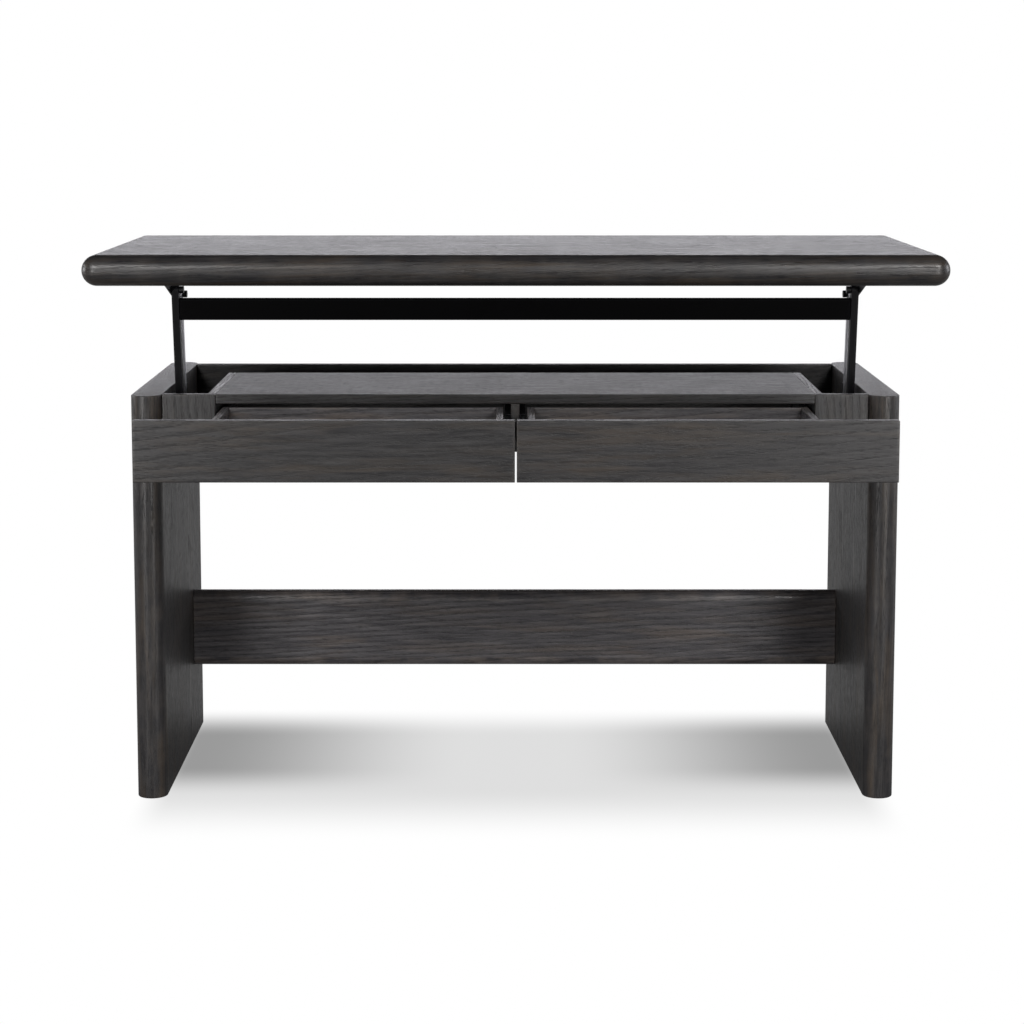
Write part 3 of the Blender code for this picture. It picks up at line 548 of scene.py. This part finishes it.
ARM_WIDTH = 0.019
LINK_WIDTH = 0.014
FULL_ROUND_FLAT = 0.0001
BAR_END_EASE = 0.0009
arm_paint = powder_coat("arm_paint", (0.0026, 0.0026, 0.0032), 0.45, 0.16)
# Painted shade: the crossbar's black is about three times darker than the arms' same powder coat,
# so it reads as shaded under the top.
dark_bar_coat_with_painted_shade = powder_coat("crossbar_coat_with_painted_shade", (0.0008, 0.0008, 0.0011), 0.55, 0.06)
link_plate = plated_steel("rear_link_zinc", (0.62, 0.62, 0.66), 0.34, (600, 12, 12))
bars = (("front_arm", ARM_WIDTH, arm_pivot, "front_arms", arm_paint, "black_steel"),
        ("rear_link", LINK_WIDTH, link_pivot, "rear_links", link_plate, "zinc_steel"))
for side in ("left", "right"):
    for kind, width, pivot, body, finish, slot in bars:
        node = side + "_" + kind
        low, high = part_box(node)
        flat = board_arrays((low[0], -width / 2, -width / 2),
                            (high[0], arm_length + width / 2, width / 2), 0,
                            width / 2 - FULL_ROUND_FLAT, BAR_END_EASE, 10)
        make_piece(node + "_bar", turned_about_x(flat, raised_angle, pivot), body, finish,
                   node)

# The crossbar's section, and how far its middle lies below the arms' upper pivots.
CROSSBAR_HEIGHT = 0.040
CROSSBAR_THICKNESS = 0.012
CROSSBAR_DROP = 0.0364
CROSSBAR_CORNER = 0.0022
CROSSBAR_END_EASE = 0.0005
bar_low, bar_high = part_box("crossbar")
from_pivot = arm_length - CROSSBAR_DROP
flat = board_arrays((bar_low[0], from_pivot - CROSSBAR_HEIGHT / 2, -CROSSBAR_THICKNESS / 2),
                    (bar_high[0], from_pivot + CROSSBAR_HEIGHT / 2, CROSSBAR_THICKNESS / 2),
                    0, CROSSBAR_CORNER, CROSSBAR_END_EASE, 6)
make_piece("crossbar_tube", turned_about_x(flat, raised_angle, arm_pivot), "front_arms",
           dark_bar_coat_with_painted_shade, "crossbar")

# ---- Table top ---------------------------------------------------------------------
# A thick oak top with a full half-round edge all the way round, so its corners are
# quarter spheres. Its grain runs across the desk.

TOP_ROUND = 0.0253
TOP_SEED = 57.3
low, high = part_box("table_top")
top_oak = stained_oak("table_top_oak", low, high, 0, 2, TOP_SEED, tone=0.8, figure=0.6,
                      warmth=0.8, gloss=0.33)
make_piece("table_top_slab", board_arrays(low, high, 2, TOP_ROUND, TOP_ROUND, 14),
           "top", top_oak, "table_top")

# ---- Brackets, plates, bolts, springs, slides and glides ---------------------------
# Pressed steel brackets, standard bolts and ball-bearing slides keep their shapes, and
# get their own paint, plating or nylon.

plate_paint = powder_coat("plate_paint", (0.006, 0.006, 0.007), 0.4, 0.3)
bolt_paint = powder_coat("bolt_black", (0.005, 0.005, 0.006), 0.3, 0.4)
spring_steel = plated_steel("spring_steel", (0.35, 0.35, 0.36), 0.35, (300, 300, 300))
slide_steel = plated_steel("slide_steel", (0.10, 0.10, 0.11), 0.35, (300, 8, 300))
glide_nylon = powder_coat("glide_nylon", (0.012, 0.012, 0.012), 0.6, 0.4)
for node, part in frame["nodes"].items():
    finish = None
    if node.endswith(("_base_plate", "_top_bracket")):
        finish = plate_paint
    elif node.endswith("_bolt"):
        finish = bolt_paint
    elif node.endswith("_spring"):
        finish = spring_steel
    elif node.endswith("_slide"):
        finish = slide_steel
    elif node.endswith("_glide"):
        finish = glide_nylon
    if finish:
        part.data.materials.clear()
        part.data.materials.append(finish)

# ---- Studio ------------------------------------------------------------------------
# A white floor that glows, with a painted soft shadow under the desk, and two high and two
# low soft boxes in front that draw a line along every round edge. A wide bank behind skims
# the flat tops, and weak fills light the outer sides.

bpy.context.scene.view_settings.view_transform = "Standard"
FLOOR_REACH = 60.0

# The share of light in the floor's shade from leg to leg and beside each leg, and the share
# of the floor's brightness that the desk gets back, in front of it and behind it.
SHADE_MIDDLE = 0.735
SHADE_BY_LEGS = 0.44
GLOW_IN_FRONT, GLOW_BEHIND = 0.12, 0.38

# Where each fade starts and ends, in metres from the legs' back, front or inner faces. The
# fade towards the legs starts at a distance from the desk's middle line instead.
FADE_AT_BACK = (0.10, -0.12)
PALE_FADE_AT_FRONT, DEEP_FADE_AT_FRONT = (-0.24, 0.08), (0.03, 0.22)
FADE_AT_SIDES = (0.06, -0.01)
DEEP_START, DEEP_END_INSIDE = 0.08, 0.02
GLOW_FADE_IN_FRONT, GLOW_FADE_BEHIND = 0.4, 0.6

# Each lamp's place, the point it faces, its size in metres and its power in watts. Those in
# front and beside the desk are given for the right, and mirrored to the left.
WARM_WHITE, COOL_WHITE, REAR_WHITE = (1.0, 0.985, 0.97), (0.97, 0.97, 1.0), (0.96, 0.95, 1.0)
HIGH_BOX = ((1.7, -3.0, 2.4), (0, -0.2, 0.75), (1.2, 1.0), 85, WARM_WHITE)
LOW_BOX = ((1.87, -3.2, 0.6), (0, 0.1, 0.45), (1.0, 1.0), 38, WARM_WHITE)
SIDE_FILL = ((4.93, 0.7, 1.5), (0, 0.2, 0.45), (2.4, 1.8), 90, COOL_WHITE)
REAR_BANK = ((0.0, 5.5, 1.75), (0, 0, 1.0), (9.0, 1.4), 88, REAR_WHITE)
DOME_COLOUR, DOME_STRENGTH = (0.95, 0.96, 1.0, 1), 0.03


def smooth_step(tree, source, output, start, end):
    """0 before start, 1 after end, and an even curve between them."""
    node = add_node(tree, "ShaderNodeMapRange", interpolation_type="SMOOTHSTEP")
    link(tree, source, output, node, "Value")
    node.inputs["From Min"].default_value = start
    node.inputs["From Max"].default_value = end
    return node


def white_floor_glow_and_painted_shadow(name):
    """White floor that glows evenly, with a painted soft shadow between the legs.

    Two layers of painted shade multiply: a pale one from leg to leg, and a deeper one along each
    leg. Towards the desk the floor glows with only part of what the camera sees, less in front
    of the desk than behind it, under the same painted shade.
    """
    made, tree, shader = new_material(name)
    tree.nodes.remove(shader)
    place = add_node(tree, "ShaderNodeTexCoord")
    split = add_node(tree, "ShaderNodeSeparateXYZ")
    link(tree, place, "Object", split, "Vector")
    aside = combine(tree, "ABSOLUTE", (split, "X"))
    leg_front, leg_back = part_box("left_leg")[0][1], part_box("left_leg")[1][1]
    leg_inside = -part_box("left_leg")[1][0]
    behind = smooth_step(tree, split, "Y", *(leg_back + step for step in FADE_AT_BACK))
    pale_front = smooth_step(tree, split, "Y", *(leg_front + step for step in PALE_FADE_AT_FRONT))
    deep_front = smooth_step(tree, split, "Y", *(leg_front + step for step in DEEP_FADE_AT_FRONT))
    inside = smooth_step(tree, aside, "Value", *(leg_inside + step for step in FADE_AT_SIDES))
    by_legs = smooth_step(tree, aside, "Value", DEEP_START, leg_inside - DEEP_END_INSIDE)
    # Painted shadow: the pale and deep layers of shade are multiplied into the floor's glow.
    pale = combine(tree, "MULTIPLY", (behind, "Result"), (pale_front, "Result"))
    pale_in = combine(tree, "MULTIPLY", (pale, "Value"), (inside, "Result"))
    deep = combine(tree, "MULTIPLY", (behind, "Result"), (deep_front, "Result"))
    deep_sides = combine(tree, "MULTIPLY", (deep, "Value"), (by_legs, "Result"))
    deep_in = combine(tree, "MULTIPLY", (deep_sides, "Value"), (inside, "Result"))
    pale_loss = combine(tree, "MULTIPLY", (pale_in, "Value"), 1 - SHADE_MIDDLE)
    deep_loss = combine(tree, "MULTIPLY", (deep_in, "Value"), 1 - SHADE_BY_LEGS)
    pale_left = combine(tree, "SUBTRACT", 1.0, (pale_loss, "Value"))
    deep_left = combine(tree, "SUBTRACT", 1.0, (deep_loss, "Value"))
    left = combine(tree, "MULTIPLY", (pale_left, "Value"), (deep_left, "Value"))
    rays = add_node(tree, "ShaderNodeLightPath")
    share = add_node(tree, "ShaderNodeMapRange")
    link(tree, rays, "Is Camera Ray", share, "Value")
    behind_desk = smooth_step(tree, split, "Y", leg_front - GLOW_FADE_IN_FRONT,
                              leg_back + GLOW_FADE_BEHIND)
    returned = add_node(tree, "ShaderNodeMapRange")
    link(tree, behind_desk, "Result", returned, "Value")
    returned.inputs["To Min"].default_value = GLOW_IN_FRONT
    returned.inputs["To Max"].default_value = GLOW_BEHIND
    link(tree, returned, "Result", share, "To Min")
    strength = combine(tree, "MULTIPLY", (left, "Value"), (share, "Result"))
    glow = add_node(tree, "ShaderNodeEmission")
    link(tree, strength, "Value", glow, "Strength")
    link(tree, glow, "Emission", tree.nodes["Material Output"], "Surface")
    made.cycles.emission_sampling = "NONE"
    return made


floor_mesh = bpy.data.meshes.new("studio_floor")
corners = [(x * FLOOR_REACH, y * FLOOR_REACH, 0.0)
           for x, y in ((-1, -1), (1, -1), (1, 1), (-1, 1))]
floor_mesh.from_pydata(corners, [], [(0, 1, 2, 3)])
floor_mesh.materials.append(white_floor_glow_and_painted_shadow("white_floor_glow_and_painted_shadow"))
floor = bpy.data.objects.new("studio_floor", floor_mesh)
bpy.context.scene.collection.objects.link(floor)


def add_soft_box(name, place, aim, size, power, colour):
    """A rectangular lamp at place, turned to face aim, that the camera doesn't see."""
    data = bpy.data.lights.new(name, "AREA")
    data.shape = "RECTANGLE"
    data.size, data.size_y = size
    data.energy = power
    data.color = colour
    lamp = bpy.data.objects.new(name, data)
    bpy.context.scene.collection.objects.link(lamp)
    lamp.location = place
    toward = Vector(aim) - Vector(place)
    lamp.rotation_euler = toward.to_track_quat("-Z", "Y").to_euler()
    lamp.visible_camera = False


for side, sign in (("left", -1), ("right", 1)):
    for kind, lamp in (("soft_box", HIGH_BOX), ("low_box", LOW_BOX), ("side_fill", SIDE_FILL)):
        (x, y, z), *rest = lamp
        add_soft_box(side + "_" + kind, (sign * x, y, z), *rest)
add_soft_box("rear_bank", *REAR_BANK)

world = bpy.data.worlds.new("studio_white")
bpy.context.scene.world = world
world.use_nodes = True
tree = world.node_tree
dim = tree.nodes["Background"]
dim.inputs["Color"].default_value = DOME_COLOUR
dim.inputs["Strength"].default_value = DOME_STRENGTH
white = add_node(tree, "ShaderNodeBackground")
white.inputs["Color"].default_value = (1, 1, 1, 1)
rays = add_node(tree, "ShaderNodeLightPath")
choose = add_node(tree, "ShaderNodeMixShader")
link(tree, rays, "Is Camera Ray", choose, "Fac")
tree.links.new(dim.outputs["Background"], choose.inputs[1])
tree.links.new(white.outputs["Background"], choose.inputs[2])
link(tree, choose, "Shader", tree.nodes["World Output"], "Surface")

CAMERA_PLACE = (-0.0136, -4.329, 1.263)
CAMERA_PITCH = 6.808
CAMERA_LENS = 84.1
CAMERA_SHIFT = (0.0043, -0.125)
camera_data = bpy.data.cameras.new("camera")
camera_data.sensor_width = 36.0
camera_data.lens = CAMERA_LENS
camera_data.shift_x, camera_data.shift_y = CAMERA_SHIFT
camera = bpy.data.objects.new("camera", camera_data)
bpy.context.scene.collection.objects.link(camera)
camera.location = CAMERA_PLACE
camera.rotation_euler = (math.radians(90 - CAMERA_PITCH), 0, 0)
bpy.context.scene.camera = camera
